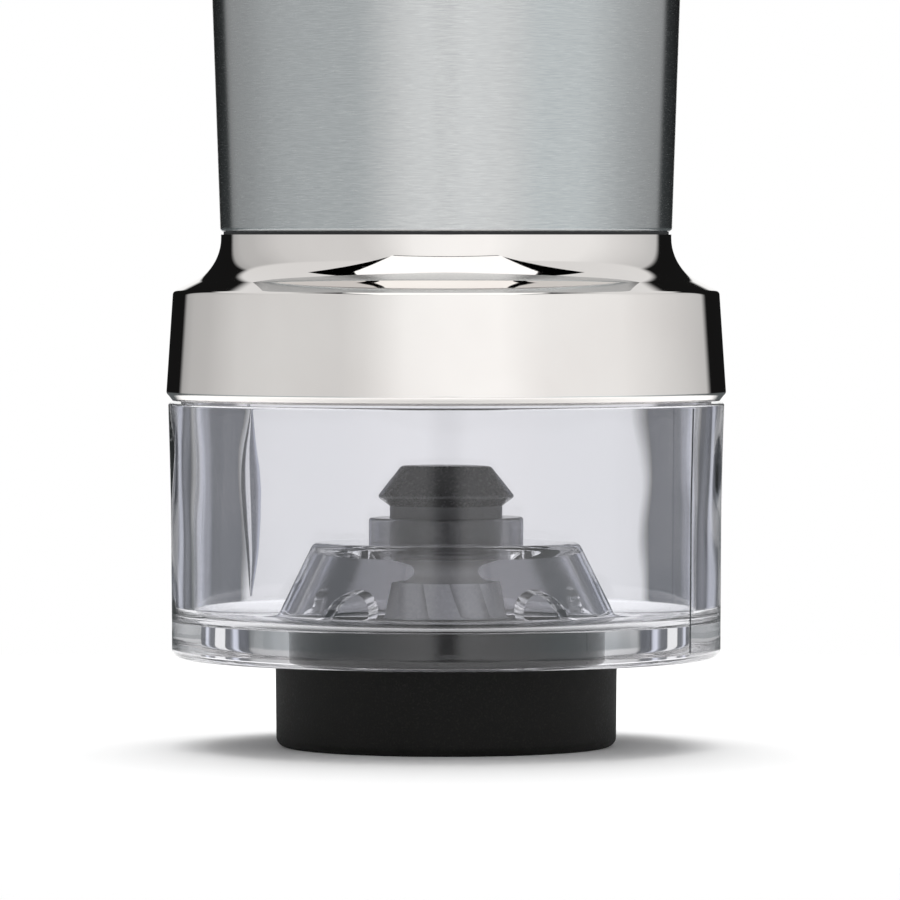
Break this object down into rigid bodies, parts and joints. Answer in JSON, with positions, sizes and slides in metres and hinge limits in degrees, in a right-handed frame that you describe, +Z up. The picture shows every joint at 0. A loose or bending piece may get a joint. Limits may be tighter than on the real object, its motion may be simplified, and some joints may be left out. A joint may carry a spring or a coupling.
{
  "type": "pepper mill",
  "caption": "Steel-bodied pepper mill: a rubber base turned by hand drives a toothed rotor under a clear chamber below a chrome collar.",
  "frame": {"origin": "centre of the rubber base's underside, on the surface that the mill stands on", "axes": "+Z up along the axis of the mill, -Y towards the viewer of the picture"},
  "size_m": [0.0704, 0.0704, 0.1846],
  "materials": {
    "brushed_steel": "circumferentially brushed, cool grey",
    "chrome": "polished chrome plate",
    "clear_plastic": "clear moulded plastic",
    "black_rubber": "matte black rubber with a fine speckle",
    "black_plastic": "satin black moulded plastic",
    "burr_steel": "blackened hardened steel",
    "silicone": "matte dark silicone",
    "steel": "bright wire and screws"
  },
  "bodies": {
    "housing": {"outer_sleeve": "brushed_steel", "hopper": "black_plastic", "collar": "chrome", "top_ring": "chrome", "sleeve_gasket": "silicone", "chamber_gasket": "silicone", "hopper_screws": "steel"},
    "lid": {"lid_cover": "chrome", "lid_plug": "black_plastic", "lid_seal": "silicone"},
    "chamber": {"chamber_cup": "clear_plastic", "spindle_bush": "clear_plastic", "stator_carrier": "black_plastic", "stator_burr": "burr_steel"},
    "base": {"base_core": "black_plastic", "base_grip": "black_rubber", "rotor_spring": "steel"},
    "rotor": {"spindle": "black_plastic", "retaining_cap": "black_plastic", "rotor_burr": "burr_steel"},
    "adjuster": {"grind_adjuster": "black_plastic"}
  },
  "joints": [
    {"name": "lid_lift", "type": "slide", "parent": "housing", "child": "lid", "axis": [0, 0, 1], "range_m": [0, 0.04]},
    {"name": "chamber_twist", "type": "hinge", "parent": "housing", "child": "chamber", "pos_m": [0, 0, 0.0474], "axis": [0, 0, 1], "range_deg": [0, 30]},
    {"name": "base_spin", "type": "hinge", "parent": "chamber", "child": "base", "pos_m": [0, 0, 0.008], "axis": [0, 0, 1], "continuous": true},
    {"name": "adjuster_turn", "type": "hinge", "parent": "base", "child": "adjuster", "pos_m": [0, 0, 0.0015], "axis": [0, 0, 1], "range_deg": [0, 360]},
    {"name": "rotor_set", "type": "slide", "parent": "base", "child": "rotor", "axis": [0, 0, 1], "range_m": [-0.001, 0], "deforming": ["rotor_spring"]}
  ],
  "couplings": [
    {"joint": "adjuster_turn", "follows": "rotor_set", "rad_per_m": -6283.2}
  ]
}
